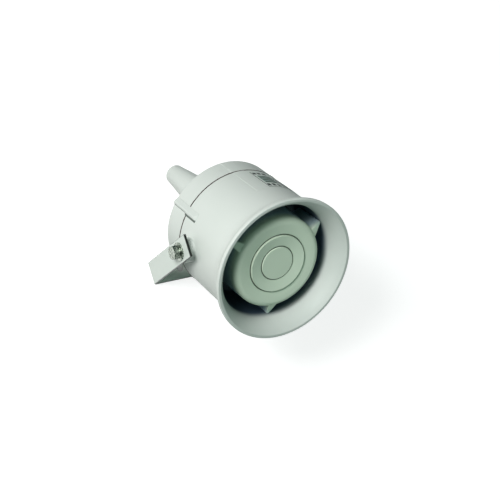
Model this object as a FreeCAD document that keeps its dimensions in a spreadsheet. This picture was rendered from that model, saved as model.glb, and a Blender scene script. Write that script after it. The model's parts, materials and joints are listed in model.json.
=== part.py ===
import FreeCAD, Part
import math
import os
import re
import Sketcher
from FreeCAD import Placement, Rotation, Vector

# Driving sizes in millimetres and degrees. Inside the horn, heights are measured from the
# pivot axis: towards the mouth is positive, towards the rear cover negative.
SIZES = {
    # how the horn hangs in its bracket
    "rest_tilt": 43.0,
    "base_clearance": 0.7015,
    "strip_width": 23.0,
    "strip_thickness": 2.5,
    "strip_bend": 3.0,
    "boss_rise": 8.9,
    "arm_past_pivot": 19.3,
    "base_hole_radius": 4.25,
    "base_hole_pitch": 42.0,
    # pivot hardware
    "bolt_radius": 4.0,
    "bolt_margin": 0.6,
    "bolt_hex": 13.0,
    "bolt_head": 5.3,
    "bolt_crown_radius": 6.1,
    "bolt_crown_slope": 30.0,
    "bolt_dish_radius": 3.8,
    "bolt_dish": 0.6,
    "pivot_play": 0.1,
    "washer_radius": 9.1,
    "washer_thickness": 1.6,
    "spring_washer_radius": 6.4,
    "spring_washer_thickness": 2.0,
    "insert_radius": 6.5,
    "insert_length": 10.0,
    "seat_play": 0.05,
    "boss_radius": 12.5,
    # front housing
    "mouth_radius": 75.0,
    "mouth_reach": 75.0,
    "lip_width": 3.2,
    "lip_round": 1.0,
    "bead_length": 3.5,
    "flare_start": 50.0,
    "shell_front_radius": 66.2,
    "front_wall": 4.7,
    "rear_wall": 3.4,
    "ledge_width": 2.0,
    "ledge_depth": 1.0,
    "chamber_room": 15.6,
    "seam_reach": 21.0,
    "gasket_thickness": 1.6,
    "gasket_recess": 0.3,
    # rear cover and its screws
    "cover_reach": 48.0,
    "cover_draft": 0.2,
    "cover_wall": 3.0,
    "cover_round": 3.0,
    "spigot_wall": 2.2,
    "spigot_play": 0.3,
    "pillar_inset": 5.1,
    "pillar_radius": 6.0,
    "pillar_notch": 1.2,
    "cover_pillar_radius": 4.8,
    "pillar_gap": 0.2,
    "pillar_play": 0.4,
    "screw_radius": 1.75,
    "screw_head_radius": 3.5,
    "screw_head_taper": 0.6,
    "screw_head": 2.4,
    "screw_recess": 3.0,
    "screw_length": 35.0,
    # tongue of the cover that reaches over the seam, and the narrow strip on top
    "tongue_angle": 155.9,
    "tongue_sweep": 8.8,
    "tongue_flank": 3.3,
    "tongue_crest": 1.4,
    "tongue_rise": 2.7,
    "tongue_edge": 0.6,
    "tongue_gap": 0.5,
    "tongue_end": 2.2,
    "tongue_nose": 2.5,
    "strip_rise": 0.25,
    "top_strip_start": 86.3,
    "top_strip_sweep": 11.2,
    "top_strip_end": 26.0,
    # cable entry
    "nozzle_edge": 4.2,
    "nozzle_angle": 131.4,
    "nozzle_base_radius": 16.0,
    "nozzle_tip_radius": 10.0,
    "nozzle_length": 54.5,
    "nozzle_round": 2.6,
    "nozzle_bore": 5.0,
    "shank_radius": 9.0,
    "shank_wall": 2.0,
    "shank_length": 10.0,
    "nut_hex": 24.0,
    "nut_thickness": 5.0,
    "seal_length": 8.0,
    "seal_seat": 1.0,
    "seal_bore": 3.5,
    # reflector that closes the middle of the mouth
    "sound_gap": 13.5,
    "face_depth": 14.6,
    "face_dish": 1.0,
    "plug_taper": 1.0,
    "plug_rear": 8.0,
    "plug_wall": 2.5,
    "shoulder_round": 4.0,
    "ring_margin": 17.3,
    "ring_pitch": 12.8,
    "ring_width": 1.3,
    "ring_depth": 1.5,
    "fin_thickness": 5.0,
    "fin_rear": 14.0,
    "fin_front": 49.0,
    "fin_gap": 0.15,
    "fin_root": 1.6,
    "fin_angle": 30.0,
    # baffle plate with the throat tube
    "plate_thickness": 4.0,
    "throat_radius": 8.5,
    "tube_foot": 0.6,
    "tube_mouth_radius": 17.5,
    "tube_reach": 38.0,
    "tube_wall": 2.2,
    "tube_sweep": 96.0,
    # driver
    "cap_wall": 2.45,
    "cap_flange_width": 6.5,
    "cap_flange": 3.5,
    "cap_overlap": 2.7,
    "plug_seat_margin": 1.3,
    "plug_seat_depth": 2.0,
    "plug_seat_width": 2.0,
    "plug_slot_radius": 1.2,
    "clamp_ledge": 6.7,
    "clamp_depth": 8.5,
    "clamp_relief": 1.5,
    "suspension_thickness": 0.8,
    "plate_radius": 28.0,
    "plate_depth": 4.0,
    "magnet_overhang": 2.0,
    "magnet_clearance": 3.0,
    "magnet_depth": 10.0,
    "yoke_depth": 5.0,
    "coil_radius": 13.0,
    "coil_wall": 0.8,
    "coil_length": 6.0,
    "coil_gap": 0.5,
    "dome_height": 4.0,
    "dome_wall": 0.5,
    "dome_rim": 0.8,
    "dome_set": 0.1,
    "dome_space": 0.8,
    "plug_tip": 5.0,
    "plug_tip_radius": 1.0,
    "throat_gap": 2.1,
    "plug_nose_curve": 18.0,
    "driver_screw_edge": 3.4,
    "driver_screw_radius": 1.5,
    "driver_screw_head_radius": 2.8,
    "driver_screw_head": 2.0,
    "driver_screw_grip": 3.2,
    # line transformer and terminal block
    "transformer_gap": 3.0,
    "transformer_angle": 315.0,
    "core_width": 34.0,
    "core_height": 26.0,
    "core_stack": 12.0,
    "core_limb": 5.5,
    "winding_depth": 17.0,
    "winding_play": 0.2,
    "strap_thickness": 1.0,
    "strap_foot": 6.6,
    "strap_width": 8.0,
    "strap_screw_radius": 1.25,
    "strap_screw_head_radius": 2.4,
    "strap_screw_head": 1.6,
    "terminal_gap": 3.5,
    "terminal_width": 27.0,
    "terminal_depth": 13.0,
    "terminal_height": 12.0,
    "terminal_pitch": 9.0,
    "terminal_screw_radius": 2.2,
    "terminal_screw_depth": 3.0,
}

# Sizes that follow from what they hold, cover or clear, from the voice coil outwards.
FITS = {
    "pole_radius": "coil_radius - coil_wall / 2 - coil_gap",
    "magnet_bore": "coil_radius + magnet_clearance",
    "magnet_radius": "plate_radius + magnet_overhang",
    "plug_seat_radius": "coil_radius + plug_seat_margin",
    "plug_nose_radius": "throat_radius - throat_gap",
    "clamp_radius": "plug_seat_radius + clamp_ledge",
    "dome_drop": "clamp_depth + dome_set",
    "cap_depth": "clamp_depth + suspension_thickness + cap_overlap",
    "cap_radius": "plate_radius + seat_play + cap_wall",
    "cap_flange_radius": "cap_radius + cap_flange_width",
    "driver_screw_circle": "cap_flange_radius - driver_screw_edge",
    "transformer_circle": "cap_flange_radius + transformer_gap + core_stack / 2",
    "terminal_circle": "cap_flange_radius + terminal_gap + terminal_depth / 2",
    "chamber_radius": "transformer_circle + chamber_room",
    "shell_seam_radius": "chamber_radius + rear_wall",
    "cover_radius": "shell_seam_radius - cover_draft",
    "pillar_circle": "chamber_radius - pillar_inset",
    "nozzle_circle": "cover_radius - nozzle_base_radius - nozzle_edge",
    "bore_rear_radius": "chamber_radius - ledge_width",
    "bore_front_radius": "shell_front_radius - front_wall",
    "plug_radius": "bore_front_radius - sound_gap",
    "plug_rear_radius": "plug_radius + plug_taper",
    "outer_ring_radius": "plug_radius - ring_margin",
    "inner_ring_radius": "outer_ring_radius - ring_pitch",
    "arm_inside": "shell_seam_radius + boss_rise",
    "bolt_reach": "strip_thickness + washer_thickness + spring_washer_thickness + insert_length"
                  " - bolt_margin",
    "pivot_height": "cover_radius * sin(rest_tilt) + cover_reach * cos(rest_tilt) + base_clearance",
}

# Heights worked out from the sizes.
SEAM_FRONT = "-(seam_reach - gasket_thickness / 2)"
SEAM_REAR = "-(seam_reach + gasket_thickness / 2)"
LEDGE = "-ledge_depth"
PLATE_BACK = "-(ledge_depth + plate_thickness)"
COVER_FLOOR = "-(cover_reach - cover_wall)"
FACE = "mouth_reach - face_depth"
CLAMP_FACE = PLATE_BACK + " - clamp_depth"
TOP_PLATE = CLAMP_FACE + " - suspension_thickness"
MAGNET = TOP_PLATE + " - plate_depth"
YOKE = MAGNET + " - magnet_depth"
DOME_EDGE = PLATE_BACK + " - dome_drop"
PILLARS = 4
FINS = 3
DRIVER_SCREWS = 3
PHASE_SLOTS = 8
STRAP_SCREW = "core_width / 2 + winding_play + (strap_thickness + strap_foot) / 2"

document = FreeCAD.newDocument("horn_speaker")
sizes = document.addObject("Spreadsheet::Sheet", "sizes")
for row, (size_name, size_value) in enumerate(SIZES.items(), start=1):
    sizes.set(f"A{row}", size_name)
    sizes.set(f"B{row}", str(size_value))
    sizes.setAlias(f"B{row}", size_name)
document.recompute()


def bound(formula):
    """The formula with each size name pointing at its cell, or worked out if it is a fit."""
    def place(name):
        if name[0] in FITS:
            return f"({bound(FITS[name[0]])})"
        return "sizes." + name[0] if name[0] in SIZES else name[0]
    return re.sub(r"[a-z][a-z_]+", place, formula)


def value(formula):
    """The formula's value now, as a plain number."""
    return float(sizes.evalExpression(bound(formula).replace("sizes.", "")))


def bind(item, target, formula):
    """Ties one property to the sheet."""
    item.setExpression(target, bound(formula))


def plane_of(body, role):
    """One of the body's own origin planes or axes."""
    return next(f for f in body.Origin.OriginFeatures if f.Role == role)


def new_body(label):
    """An empty body with its own label."""
    body = document.addObject("PartDesign::Body", label)
    body.Label = label
    body.AllowCompound = True
    return body


def horn_body(label):
    """A body that tilts with the horn: its own Z axis is the horn's axis, its X the pivot."""
    body = new_body(label)
    body.Placement = Placement(Vector(0, 0, value("pivot_height")),
                               Rotation(Vector(1, 0, 0), value("rest_tilt")))
    bind(body, "Placement.Base.z", "pivot_height")
    bind(body, "Placement.Rotation.Angle", "rest_tilt")
    return body


def new_sketch(body, role, shift=("0", "0", "0"), turn="0"):
    """A sketch on an origin plane, shifted in the body's frame and turned about its Z axis."""
    sketch = body.newObject("Sketcher::SketchObject", body.Name + "_sketch")
    sketch.AttachmentSupport = [(plane_of(body, role), "")]
    sketch.MapMode = "FlatFace"
    x, y, z = shift
    if role == "XY_Plane":
        offset, axis = (x, y, z), Vector(0, 0, 1)
    elif role == "XZ_Plane":
        offset, axis = (x, z, f"-({y})"), Vector(0, 1, 0)
    else:
        offset, axis = (y, z, x), Vector(0, 1, 0)
    sketch.AttachmentOffset = Placement(Vector(*map(value, offset)), Rotation(axis, value(turn)))
    for letter, formula in zip("xyz", offset):
        bind(sketch, f"AttachmentOffset.Base.{letter}", formula)
    if turn != "0":
        bind(sketch, "AttachmentOffset.Rotation.Angle", turn)
    return sketch


def hold(sketch, kind, places, formula):
    """A dimension tied to the sheet."""
    index = sketch.addConstraint(Sketcher.Constraint(kind, *places, value(formula)))
    sketch.renameConstraint(index, f"size{index}")
    bind(sketch, f"Constraints.size{index}", formula)


def hold_point(sketch, edge, end, across, along):
    """Places one end of an edge from the sketch's origin."""
    hold(sketch, "DistanceX", (-1, 1, edge, end), across)
    hold(sketch, "DistanceY", (-1, 1, edge, end), along)


def arc_between(start, end, radius, clockwise):
    """The short arc of a radius from start to end."""
    chord = end - start
    middle = (start + end) / 2
    sagitta = math.sqrt(max(radius ** 2 - (chord.Length / 2) ** 2, 0))
    side = Vector(chord.y, -chord.x, 0).normalize() * (sagitta if clockwise else -sagitta)
    centre = middle + side
    first, last = (end, start) if clockwise else (start, end)
    angles = [math.atan2(p.y - centre.y, p.x - centre.x) for p in (first, last)]
    if angles[1] < angles[0]:
        angles[1] += 2 * math.pi
    return Part.ArcOfCircle(Part.Circle(centre, Vector(0, 0, 1), radius), *angles)


def outline(sketch, corners):
    """Closes a loop through the corners. A corner's third and fourth entries are the radius
    of the arc that leaves it and whether that arc runs clockwise."""
    points = [Vector(value(c[0]), value(c[1]), 0) for c in corners]
    first_edge = sketch.GeometryCount
    ends = []
    for index, corner in enumerate(corners):
        start, end = points[index], points[(index + 1) % len(points)]
        if len(corner) == 2:
            edge = sketch.addGeometry(Part.LineSegment(start, end), False)
            ends.append((edge, 1, 2))
        else:
            edge = sketch.addGeometry(arc_between(start, end, value(corner[2]), corner[3]), False)
            ends.append((edge, 2, 1) if corner[3] else (edge, 1, 2))
    for index, (edge, _, last) in enumerate(ends):
        following, first, _ = ends[(index + 1) % len(ends)]
        sketch.addConstraint(Sketcher.Constraint("Coincident", edge, last, following, first))
    for index, (corner, (edge, first, _)) in enumerate(zip(corners, ends)):
        hold_point(sketch, edge, first, corner[0], corner[1])
        if len(corner) > 2:
            hold(sketch, "Radius", (first_edge + index,), corner[2])


def ring(sketch, radius, across="0", along="0"):
    """A circle."""
    centre = Vector(value(across), value(along), 0)
    edge = sketch.addGeometry(Part.Circle(centre, Vector(0, 0, 1), value(radius)), False)
    hold_point(sketch, edge, 3, across, along)
    hold(sketch, "Radius", (edge,), radius)


def box_corners(low_x, low_y, high_x, high_y):
    """Four corners of a rectangle."""
    return [(low_x, low_y), (high_x, low_y), (high_x, high_y), (low_x, high_y)]


def spin(body, kind, corners, angle="360", axis="V_Axis", **place):
    """Turns an outline about the sketch's upright axis, or about its level one."""
    sketch = new_sketch(body, "XZ_Plane", **place)
    outline(sketch, corners)
    feature = body.newObject(f"PartDesign::{kind}", body.Name + "_spin")
    feature.Profile = sketch
    feature.ReferenceAxis = (sketch, [axis])
    feature.Angle = value(angle)
    if angle != "360":
        bind(feature, "Angle", angle)
    document.recompute()
    return feature


def push(body, kind, sketch, depth, reverse=False, midplane=False):
    """Pads or pockets a sketch."""
    feature = body.newObject(f"PartDesign::{kind}", body.Name + "_push")
    feature.Profile = sketch
    feature.Length = value(depth)
    bind(feature, "Length", depth)
    feature.Reversed = reverse
    if midplane:
        feature.SideType = "Symmetric"
    document.recompute()
    return feature


def repeat_round(body, originals, count):
    """Copies features round the horn's axis."""
    pattern = body.newObject("PartDesign::PolarPattern", body.Name + "_round")
    pattern.Originals = originals
    pattern.Axis = (plane_of(body, "Z_Axis"), [""])
    pattern.Angle = 360
    pattern.Occurrences = count
    body.Tip = pattern
    document.recompute()
    return pattern


def mirror_across(body, originals):
    """Copies features to the other side of the speaker."""
    mirror = body.newObject("PartDesign::Mirrored", body.Name + "_mirror")
    mirror.Originals = originals
    mirror.MirrorPlane = (plane_of(body, "YZ_Plane"), [""])
    body.Tip = mirror
    document.recompute()
    return mirror


def flare_radius(rise, run):
    """Radius of an arc that leaves a straight wall smoothly and steps out by rise over run."""
    return f"(({rise})^2 + ({run})^2) / (2 * abs({rise}))"


def flare(across, along, rise, run):
    """A corner of an outline where a wall starts to flare out, or in if the rise is negative."""
    return (across, along, flare_radius(rise, run), value(rise) > 0)


def polar(radius, angle):
    """A point by its distance from the axis and its angle round it."""
    return (f"({radius}) * cos({angle})", f"({radius}) * sin({angle})")


def hexagon(across_flats):
    """Six corners of a hexagon."""
    reach = f"{across_flats} / 2 / cos(30)"
    return [(f"{reach} * cos({60 * i})", f"{reach} * sin({60 * i})") for i in range(6)]


def side_ring(body, outer, inner, start, depth):
    """A washer-like ring about the pivot axis on the left side, growing outwards."""
    sketch = new_sketch(body, "YZ_Plane", shift=(f"-({start})", "0", "0"))
    ring(sketch, outer)
    ring(sketch, inner)
    return push(body, "Pad", sketch, depth, reverse=True)


def bracket():
    """The steel strip, folded to a U."""
    body = new_body("mounting_bracket")
    outside = "arm_inside + strip_thickness"
    top = "pivot_height + arm_past_pivot"
    outer_bend = "strip_bend + strip_thickness"
    sketch = new_sketch(body, "XZ_Plane")
    outline(sketch, [
        (f"-({outside})", top),
        (f"-({outside})", outer_bend, outer_bend, False),
        (f"-({outside} - ({outer_bend}))", "0"),
        (f"{outside} - ({outer_bend})", "0", outer_bend, False),
        (outside, outer_bend),
        (outside, top),
        ("arm_inside", top),
        ("arm_inside", outer_bend, "strip_bend", True),
        ("arm_inside - strip_bend", "strip_thickness"),
        ("-(arm_inside - strip_bend)", "strip_thickness", "strip_bend", True),
        ("-arm_inside", outer_bend),
        ("-arm_inside", top),
    ])
    push(body, "Pad", sketch, "strip_width", midplane=True)
    sketch = new_sketch(body, "XY_Plane")
    for across in ("-base_hole_pitch", "0", "base_hole_pitch"):
        ring(sketch, "base_hole_radius", across)
    push(body, "Pocket", sketch, "strip_thickness", reverse=True)
    sketch = new_sketch(body, "YZ_Plane")
    ring(sketch, "bolt_radius + pivot_play", "0", "pivot_height")
    push(body, "Pocket", sketch, "2 * (arm_inside + strip_thickness + pivot_play)", midplane=True)


def pivot_hardware():
    """Bolts, washers and threaded inserts on both sides."""
    washer = "arm_inside + strip_thickness"
    spring = washer + " + washer_thickness"
    head = spring + " + spring_washer_thickness"

    body = horn_body("pivot_bolts")
    sketch = new_sketch(body, "YZ_Plane", shift=(f"-({head})", "0", "0"))
    outline(sketch, hexagon("bolt_hex"))
    hex_head = push(body, "Pad", sketch, "bolt_head", reverse=True)
    end = head + " + bolt_head"
    crown = spin(body, "Groove", [
        (f"-({end})", "bolt_crown_radius"),
        (f"-({end} - (bolt_hex - bolt_crown_radius) * tan(bolt_crown_slope))", "bolt_hex"),
        (f"-({end})", "bolt_hex"),
    ], axis="H_Axis")
    dish = spin(body, "Groove", [
        (f"-({end})", "0"),
        (f"-({end} - bolt_dish)", "0"),
        (f"-({end})", "bolt_dish_radius"),
    ], axis="H_Axis")
    sketch = new_sketch(body, "YZ_Plane", shift=(f"-({head})", "0", "0"))
    ring(sketch, "bolt_radius")
    shank = push(body, "Pad", sketch, "bolt_reach")
    mirror_across(body, [hex_head, crown, dish, shank])

    hole = "bolt_radius + seat_play"
    for label, outer, start, depth in (
            ("pivot_flat_washers", "washer_radius", washer, "washer_thickness"),
            ("pivot_spring_washers", "spring_washer_radius", spring, "spring_washer_thickness"),
            ("pivot_inserts", "insert_radius", "arm_inside - insert_length", "insert_length")):
        body = horn_body(label)
        mirror_across(body, [side_ring(body, outer, hole, start, depth)])


def tongue(body, low, high, inner):
    """One stretch of the cover's tongue: a steep lower flank, a crest and a long upper slope."""
    outer = "shell_seam_radius + tongue_rise"
    sketch = new_sketch(body, "XY_Plane", shift=("0", "0", low))
    outline(sketch, [
        polar(inner, "tongue_angle"),
        polar(inner, "tongue_angle - tongue_sweep"),
        polar("shell_seam_radius + tongue_edge", "tongue_angle - tongue_sweep"),
        polar(outer, "tongue_angle - tongue_flank - tongue_crest"),
        polar(outer, "tongue_angle - tongue_flank"),
    ])
    return push(body, "Pad", sketch, f"{high} - ({low})")


def front_housing():
    """The moulded bell: flared mouth, straight wall, pivot bosses, screw pillars."""
    body = horn_body("front_housing")
    run = "mouth_reach - bead_length - flare_start"
    rise = "mouth_radius - shell_front_radius"
    spin(body, "Revolution", [
        ("0", SEAM_FRONT),
        ("shell_seam_radius", SEAM_FRONT),
        flare("shell_front_radius", "flare_start", rise, run),
        ("mouth_radius", "mouth_reach - bead_length"),
        ("mouth_radius", "mouth_reach - lip_round", "lip_round", False),
        ("mouth_radius - lip_round", "mouth_reach"),
        ("0", "mouth_reach"),
    ])
    sketch = new_sketch(body, "YZ_Plane", shift=("-arm_inside", "0", "0"))
    ring(sketch, "boss_radius")
    push(body, "Pad", sketch, "2 * arm_inside")
    draft = "(shell_front_radius - shell_seam_radius) / (flare_start + seam_reach)"
    spin(body, "Revolution", [
        ("chamber_radius", SEAM_FRONT),
        ("shell_seam_radius + strip_rise", SEAM_FRONT),
        (f"shell_seam_radius + strip_rise + (top_strip_end + seam_reach) * {draft}", "top_strip_end"),
        ("chamber_radius", "top_strip_end"),
    ], angle="top_strip_sweep", turn="top_strip_start")
    spin(body, "Groove", [
        ("0", SEAM_FRONT),
        ("chamber_radius", SEAM_FRONT),
        ("chamber_radius", LEDGE),
        ("bore_rear_radius", LEDGE),
        flare("bore_front_radius", "flare_start", "mouth_radius - lip_width - bore_front_radius",
              "mouth_reach - flare_start"),
        ("mouth_radius - lip_width", "mouth_reach"),
        ("0", "mouth_reach"),
    ])
    sketch = new_sketch(body, "XY_Plane", shift=("0", "0", SEAM_FRONT))
    ring(sketch, "pillar_radius", "pillar_circle")
    pillar = push(body, "Pad", sketch, f"{LEDGE} - ({SEAM_FRONT})")
    repeat_round(body, [pillar], PILLARS)
    sketch = new_sketch(body, "XY_Plane", shift=("0", "0", SEAM_FRONT))
    ring(sketch, "screw_radius + seat_play", "pillar_circle")
    hole = push(body, "Pocket", sketch, "screw_length - (cover_reach - screw_recess) + seam_reach",
                reverse=True)
    repeat_round(body, [hole], PILLARS)
    sketch = new_sketch(body, "YZ_Plane", shift=("-arm_inside", "0", "0"))
    ring(sketch, "insert_radius + seat_play")
    socket = push(body, "Pocket", sketch, "insert_length + seat_play", reverse=True)
    mirror_across(body, [socket])


def reflector():
    """The bowl that turns the sound round, with its dished, ringed face and three fins."""
    body = horn_body("reflector")
    slope_end = "plug_radius - shoulder_round"
    high_face = f"{FACE} + face_dish"
    rise = f"face_dish / ({slope_end} - inner_ring_radius)"
    inner_face = f"{FACE} - plug_wall"
    inner_round = "shoulder_round - plug_wall"
    spin(body, "Revolution", [
        ("0", FACE),
        ("inner_ring_radius", FACE),
        (slope_end, high_face, "shoulder_round", True),
        ("plug_radius", f"{high_face} - shoulder_round"),
        ("plug_rear_radius", "plug_rear"),
        ("plug_rear_radius - plug_wall", "plug_rear"),
        ("plug_radius - plug_wall", f"{inner_face} - ({inner_round})", inner_round, False),
        (slope_end, inner_face),
        ("0", inner_face),
    ])
    for radius in ("inner_ring_radius", "outer_ring_radius"):
        level = f"{FACE} + ({radius} - inner_ring_radius) * {rise}"
        low, high = f"{radius} - ring_width / 2", f"{radius} + ring_width / 2"
        spin(body, "Groove", box_corners(low, f"{level} - ring_depth", high, high_face))
    taper = "(bore_front_radius - bore_rear_radius) / (flare_start + ledge_depth)"
    fin = [
        ("plug_rear_radius - fin_root", "fin_rear"),
        (f"bore_front_radius - fin_gap - (flare_start - fin_rear) * {taper}", "fin_rear"),
        (f"bore_front_radius - fin_gap - (flare_start - fin_front) * {taper}", "fin_front"),
        (f"plug_radius - fin_root", f"{high_face} - shoulder_round"),
    ]
    sketch = new_sketch(body, "XZ_Plane", turn="fin_angle")
    outline(sketch, fin)
    web = push(body, "Pad", sketch, "fin_thickness", midplane=True)
    repeat_round(body, [web], FINS)


def throat_plate():
    """The baffle plate that carries the driver, with the tube that starts the horn."""
    body = horn_body("throat_plate")
    edge = "chamber_radius - spigot_play"
    spin(body, "Revolution", [
        ("throat_radius", PLATE_BACK),
        (edge, PLATE_BACK),
        (edge, LEDGE),
        ("throat_radius + tube_wall + tube_foot", LEDGE, "tube_sweep", True),
        ("tube_mouth_radius + tube_wall", "tube_reach"),
        ("tube_mouth_radius", "tube_reach", "tube_sweep + tube_wall", False),
    ])
    sketch = new_sketch(body, "XY_Plane", shift=("0", "0", PLATE_BACK))
    ring(sketch, "pillar_radius + pillar_play", "pillar_circle")
    notch = push(body, "Pocket", sketch, "plate_thickness", reverse=True)
    repeat_round(body, [notch], PILLARS)
    sketch = new_sketch(body, "XY_Plane", shift=("0", "0", PLATE_BACK))
    ring(sketch, "driver_screw_radius + seat_play", "driver_screw_circle")
    hole = push(body, "Pocket", sketch, "driver_screw_grip + seat_play", reverse=True)
    repeat_round(body, [hole], DRIVER_SCREWS)
    sketch = new_sketch(body, "XY_Plane", shift=("0", "0", PLATE_BACK), turn="transformer_angle")
    for side in ("", "-"):
        ring(sketch, "strap_screw_radius + seat_play", "transformer_circle",
             f"{side}({STRAP_SCREW})")
    push(body, "Pocket", sketch, "driver_screw_grip + seat_play", reverse=True)


def cover_gasket():
    """The flat gasket in the seam."""
    body = horn_body("cover_gasket")
    spin(body, "Revolution", box_corners("chamber_radius + spigot_play", SEAM_REAR,
                                         "shell_seam_radius - gasket_recess", SEAM_FRONT))


def rear_cover():
    """The rear cup with its spigot, tongue, screw pillars and cable hole."""
    body = horn_body("rear_cover")
    spigot = "chamber_radius - spigot_play"
    spigot_top = f"{PLATE_BACK} - seat_play"
    spin(body, "Revolution", [
        ("0", "-cover_reach"),
        ("cover_radius - cover_round", "-cover_reach", "cover_round", False),
        ("cover_radius", "-cover_reach + cover_round"),
        ("shell_seam_radius", SEAM_REAR),
        (spigot, SEAM_REAR),
        (spigot, spigot_top),
        ("0", spigot_top),
    ])
    tongue(body, "-cover_reach + cover_round", SEAM_REAR, "cover_radius - cover_wall / 2")
    tongue(body, SEAM_REAR, "-tongue_end", "shell_seam_radius + tongue_gap")
    spin(body, "Groove", [
        ("shell_seam_radius + tongue_gap", "-tongue_end"),
        ("shell_seam_radius + tongue_rise", "-(tongue_end + tongue_nose)", "tongue_nose", True),
        ("shell_seam_radius + tongue_rise + tongue_nose", "-tongue_end"),
    ])
    spin(body, "Revolution", box_corners("cover_radius - cover_wall / 2", "-cover_reach + cover_round",
                                         "shell_seam_radius + strip_rise", SEAM_REAR),
         angle="top_strip_sweep", turn="top_strip_start")
    spin(body, "Groove", [
        ("0", COVER_FLOOR),
        ("cover_radius - cover_wall", COVER_FLOOR),
        ("cover_radius - cover_wall", f"{SEAM_REAR} - cover_wall"),
        (f"{spigot} - spigot_wall", SEAM_REAR),
        (f"{spigot} - spigot_wall", spigot_top),
        ("0", spigot_top),
    ])
    sketch = new_sketch(body, "XY_Plane", shift=("0", "0", SEAM_REAR))
    half = "pillar_radius + pillar_notch"
    outline(sketch, box_corners("pillar_circle - pillar_radius", f"-({half})",
                                "shell_seam_radius", half))
    notch = push(body, "Pocket", sketch, f"{spigot_top} - ({SEAM_REAR})", reverse=True)
    repeat_round(body, [notch], PILLARS)
    sketch = new_sketch(body, "XY_Plane", shift=("0", "0", COVER_FLOOR))
    ring(sketch, "cover_pillar_radius", "pillar_circle")
    pillar = push(body, "Pad", sketch, f"{SEAM_FRONT} - pillar_gap - ({COVER_FLOOR})")
    repeat_round(body, [pillar], PILLARS)
    sketch = new_sketch(body, "XY_Plane", shift=("0", "0", "-cover_reach"))
    ring(sketch, "screw_radius + pillar_gap", "pillar_circle")
    hole = push(body, "Pocket", sketch, "cover_reach", reverse=True)
    repeat_round(body, [hole], PILLARS)
    sketch = new_sketch(body, "XY_Plane", shift=("0", "0", "-cover_reach"))
    ring(sketch, "screw_head_radius + pillar_gap", "pillar_circle")
    recess = push(body, "Pocket", sketch, "screw_recess", reverse=True)
    repeat_round(body, [recess], PILLARS)
    sketch = new_sketch(body, "XY_Plane", shift=("0", "0", "-cover_reach"))
    ring(sketch, "shank_radius + seat_play", "nozzle_circle * cos(nozzle_angle)",
         "nozzle_circle * sin(nozzle_angle)")
    push(body, "Pocket", sketch, "cover_wall", reverse=True)


def cover_screws():
    """Four self-tapping screws through the cover's pillars."""
    body = horn_body("cover_screws")
    seat = "-(cover_reach - screw_recess)"
    screw = spin(body, "Revolution", [
        ("0", f"{seat} - screw_head"),
        ("screw_head_radius - screw_head_taper", f"{seat} - screw_head"),
        ("screw_head_radius", seat),
        ("screw_radius", seat),
        ("screw_radius", f"{seat} + screw_length - screw_radius"),
        ("0", f"{seat} + screw_length"),
    ], shift=("pillar_circle", "0", "0"))
    repeat_round(body, [screw], PILLARS)


def nozzle_place(height="0"):
    """Where the cable entry's axis crosses the rear face."""
    return ("nozzle_circle * cos(nozzle_angle)", "nozzle_circle * sin(nozzle_angle)", height)


def cable_entry():
    """The long tapered nozzle, its lock nut and the rubber seal in its shank."""
    back = "-cover_reach"
    tip = "-(cover_reach + nozzle_length)"
    body = horn_body("cable_nozzle")
    spin(body, "Revolution", [
        ("nozzle_bore", f"{tip}"),
        ("nozzle_tip_radius - nozzle_round", tip, "nozzle_round", True),
        ("nozzle_tip_radius", f"{tip} + nozzle_round"),
        ("nozzle_base_radius", back),
        ("shank_radius", back),
        ("shank_radius", f"{back} + shank_length"),
        ("shank_radius - shank_wall", f"{back} + shank_length"),
        ("shank_radius - shank_wall", f"{back} + shank_length - seal_length"),
        ("nozzle_bore", f"{back} + shank_length - seal_length - seal_seat"),
    ], shift=nozzle_place())
    body = horn_body("cable_seal")
    spin(body, "Revolution", box_corners("seal_bore", f"{back} + shank_length - seal_length",
                                         "shank_radius - shank_wall", f"{back} + shank_length"),
         shift=nozzle_place())
    body = horn_body("gland_nut")
    sketch = new_sketch(body, "XY_Plane", shift=nozzle_place(COVER_FLOOR))
    outline(sketch, hexagon("nut_hex"))
    ring(sketch, "shank_radius + seat_play")
    push(body, "Pad", sketch, "nut_thickness")


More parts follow.
